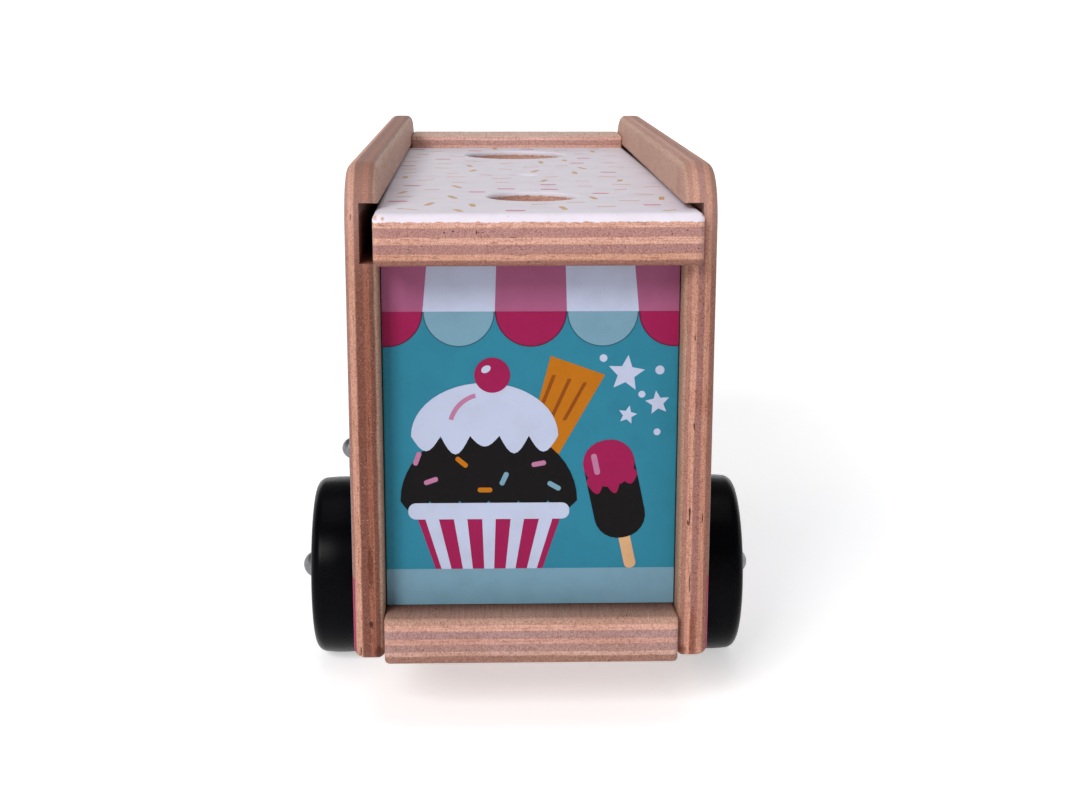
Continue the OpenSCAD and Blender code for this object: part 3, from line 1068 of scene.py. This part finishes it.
def sprinkleTree():   # short round-ended strokes scattered over a sheet
    tree, socket = startTree("sprinkles", [
        ("Sheet", "Geometry"), ("Spacing", "Float"), ("Seed", "Int"), ("From", "Float"), ("To", "Float"),
        ("Length", "Float"), ("Spread", "Float"), ("Width", "Float"), ("Depth", "Float"),
        ("Tilt", "Float"), ("Tilt Spread", "Float"), ("Ink", "Material")])
    sheet = socket["Sheet"]
    points = sheet.make("GeometryNodeDistributePointsOnFaces", {"distribute_method": "POISSON"}, {
        "Mesh": sheet, "Distance Min": socket["Spacing"], "Density Max": 40000.0, "Seed": socket["Seed"]})

    def chance(seed, low, high):
        settings = {"data_type": "FLOAT"}
        return sheet.make("FunctionNodeRandomValue", settings, {2: low, 3: high, 8: seed}, out=1)

    lot = chance(5, 0.0, 1.0)
    early = sheet.sum("LESS_THAN", lot, socket["From"])
    late = sheet.sum("GREATER_THAN", lot, socket["To"])
    kept = sheet.make("GeometryNodeDeleteGeometry", {"domain": "POINT"}, {
        "Geometry": points, "Selection": early + late})
    outline = sheet.make("GeometryNodeCurvePrimitiveQuadrilateral", {"mode": "RECTANGLE"}, {
        "Width": socket["Length"], "Height": socket["Width"]})
    rounded = sheet.make("GeometryNodeFilletCurve", {"mode": "POLY"}, {
        "Curve": outline, "Count": 4, "Radius": socket["Width"] * 0.48})
    foot = sheet.make("GeometryNodeFillCurve", {"mode": "NGONS"}, {"Curve": rounded})
    raised = sheet.make("GeometryNodeExtrudeMesh", {"mode": "FACES"}, {
        "Mesh": foot, "Offset Scale": socket["Depth"], "Individual": False})
    under = sheet.make("GeometryNodeFlipFaces", None, {"Mesh": foot})
    both = sheet.make("GeometryNodeJoinGeometry", None, {0: raised})
    tree.links.new(under.socket, both.socket.node.inputs[0])
    stroke = sheet.make("GeometryNodeMergeByDistance", None, {"Geometry": both, "Distance": 0.000001})
    turn = socket["Tilt"] + chance(6, -1.0, 1.0) * socket["Tilt Spread"]
    turned3d = sheet.make("ShaderNodeCombineXYZ", None, {2: turn})
    longer = 1 + chance(7, -1.0, 1.0) * socket["Spread"]
    stretch = sheet.make("ShaderNodeCombineXYZ", None, {0: longer, 1: 1.0, 2: 1.0})
    placed = sheet.make("GeometryNodeInstanceOnPoints", None, {
        "Points": kept, "Instance": stroke, "Rotation": turned3d, "Scale": stretch})
    return endTree(tree, placed, socket["Ink"])


rowLook = {   # first and step are (along, up) in mm on each side board
    "icing": {"colour": "white", "count": 31, "first": (-117.9, 45.6), "step": 8.1, "radius": 3.6,
              "stretch": 1.35, "wave": 0.1, "layer": 1.3},
    "dots": {"colour": "lilac", "count": 15, "first": (-109.6, 31.0), "step": 16.2, "radius": 1.6,
             "stretch": 1.0, "wave": 0.0, "layer": 1.0},
}


def printRows(face, tree):
    for kind, look in rowLook.items():
        depth = inkLook["layer"] * look["layer"] + inkLook["sunk"]
        middle = depth / 2 - inkLook["sunk"]
        mesh = grown(tree, {
            "Count": look["count"], "First": (*look["first"], middle), "Step": (look["step"], 0, 0),
            "Radius": look["radius"], "Stretch": look["stretch"], "Wave": look["wave"], "Depth": depth,
            "Ink": inkOf(look["colour"])})
        bm = bmesh.new()
        bm.from_mesh(mesh)
        name, colour = f"{face['name']}_{kind}", inkOf(look["colour"])
        link(name, meshFrom(name, bm, face["place"], merge=0), [colour], "body", face["slot"])


dropRow = rowTree()
for face in sideFaces:
    printRows(face, dropRow)

sprinkleLook = {   # mm and degrees. The lots from 0 to 1 share the spots out between the kinds
    "cell": 2.5, "edge": 5.5, "holeMargin": 5.0, "spacing": 11.5, "seed": 8, "layer": 1.2,
    "kinds": {
        "peach": {"lots": (0.0, 0.6), "length": 5.6, "spread": 0.2, "width": 1.1, "tilt": 0, "turn": 34,
                  "colour": (214, 168, 140)},
        "pink": {"lots": (0.6, 0.83), "length": 5.4, "spread": 0.08, "width": 2.5, "tilt": -2, "turn": 6,
                 "colour": (208, 128, 158)},
        "gold": {"lots": (0.83, 1.0), "length": 7.2, "spread": 0.18, "width": 1.6, "tilt": 90, "turn": 20,
                 "colour": (206, 164, 112)},
    },
}


def sprinkleSheet(look):   # the lid's upper face in small squares, without those near an edge or a hole
    cell, edge = look["cell"], look["edge"]
    across, along = int((lidWidth - 2 * edge) / cell), int((lidLength - 2 * edge) / cell)
    bm = bmesh.new()
    for i in range(across):
        for j in range(along):
            u, v = -lidWidth / 2 + edge + cell * i, edge + cell * j
            middle = u + cell / 2, v + cell / 2
            gaps = [math.dist(middle, (0, spot)) - radius for radius, spot in lidLook["holes"]]
            if min(gaps) > look["holeMargin"]:
                bm.faces.new([bm.verts.new((x, y, 0)) for x, y in block(u, v, u + cell, v + cell)])
    foot = (*lidMiddle, lidHigh.z - inkLook["sunk"])
    return meshFrom("sheet", bm, plate(foot, (*lidAcross, 0), (*lidAlong, 0), (0, 0, 1)))


def sprinkles(look):
    tree = sprinkleTree()
    for kind, bit in look["kinds"].items():
        material = ink("sprinkle_" + kind, bit["colour"], 1, 50.0)
        mesh = grown(tree, {
            "Spacing": look["spacing"] * mm, "Seed": look["seed"],
            "From": bit["lots"][0], "To": bit["lots"][1],
            "Length": bit["length"] * mm, "Spread": bit["spread"], "Width": bit["width"] * mm,
            "Depth": (inkLook["layer"] * look["layer"] + inkLook["sunk"]) * mm,
            "Tilt": math.radians(bit["tilt"]), "Tilt Spread": math.radians(bit["turn"]), "Ink": material,
        }, sprinkleSheet(look))
        link("sprinkles_" + kind, mesh, [] if mesh.materials else [material], "lid", "printed_lid")


sprinkles(sprinkleLook)
print("rows and sprinkles made")


# Stage

stageLook = {
    "floor": (240, 239, 240),
    "glowRear": 0.06, "glowFront": 0.5, "glowFar": 0.75,         # the floor lights itself a little
    "glowTurn": (-420, -130), "glowSpread": (500, 2600),         # mm
    "flat": 2.2, "bowl": 1.6, "rise": 84, "segments": 96,        # m, m, degrees
    "world": (1.0, 1.0, 1.0), "worldStrength": 0.26,
    "keyPlace": (-1.35, -2.6, 1.9), "keySize": 1.1, "keyPower": 66,
    "topPlace": (0.0, 0.0, 2.2), "topSize": 1.6, "topPower": 8,
    "aim": (0, 0, 0.08),                                         # m, what both lights face
}


def softbox(name, place, size, power, aim):
    data = bpy.data.lights.new(name, "AREA")
    data.shape, data.size, data.energy = "SQUARE", size, power
    light = bpy.data.objects.new(name, data)
    bpy.context.scene.collection.objects.link(light)
    light.location = place
    light.rotation_mode = "QUATERNION"
    light.rotation_quaternion = (Vector(aim) - light.location).to_track_quat("-Z", "Y")


def studioFloor(look):   # a flat floor that turns up into a wall all round
    bm = bmesh.new()
    flat, bowl, count = look["flat"], look["bowl"], look["segments"]
    profile = [(0.001, 0), (flat, 0)] + bend((flat, bowl), bowl, -90, look["rise"] - 90, 16)
    angles = [math.tau * k / count for k in range(count)]
    loops = [[bm.verts.new((r * math.cos(a), r * math.sin(a), z)) for a in angles] for r, z in profile]
    for inner, outer in zip(loops, loops[1:]):
        for k in range(count):
            n = (k + 1) % count
            bm.faces.new((inner[k], outer[k], outer[n], inner[n])).smooth = True
    bm.faces.new(loops[0])
    mesh = bpy.data.meshes.new("floor")
    bm.to_mesh(mesh)
    bm.free()
    return mesh


def stage(look):
    for name in ("key", "top"):
        softbox(name, look[name + "Place"], look[name + "Size"], look[name + "Power"], look["aim"])
    world = bpy.data.worlds.new("studio")
    world.use_nodes = True
    world.node_tree.nodes["Background"].inputs["Color"].default_value = (*look["world"], 1)
    world.node_tree.nodes["Background"].inputs["Strength"].default_value = look["worldStrength"]
    bpy.context.scene.world = world
    bpy.context.scene.view_settings.view_transform = "Standard"
    mesh = studioFloor(look)
    floor = bpy.data.objects.new("floor", mesh)
    bpy.context.scene.collection.objects.link(floor)
    material, shader, place = startMaterial("studio_floor", {
        "Emission Strength": 1.0, "Specular IOR Level": 0.1})
    tone = tinted(linear(look["floor"]), cloud(place, 300), (0.985, 0.985, 0.985))
    finishMaterial(shader, tone, 0.7 + cloud(place, 40) * 0.1, cloud(place, 2) * 0.01)
    away = place.vector("LENGTH", place, out=1) / mm
    front = between(axisOf(place, 1), *look["glowTurn"])
    far = between(away, *look["glowSpread"]) * (look["glowFar"] - look["glowFront"])
    lit = front * (look["glowFront"] - look["glowRear"] + far) + look["glowRear"]
    glow = place.make("ShaderNodeCombineColor", None, {k: lit for k in range(3)})
    glow.tree.links.new(glow.socket, shader.inputs["Emission Color"])
    mesh.materials.append(material)


stage(stageLook)
print("stage made")
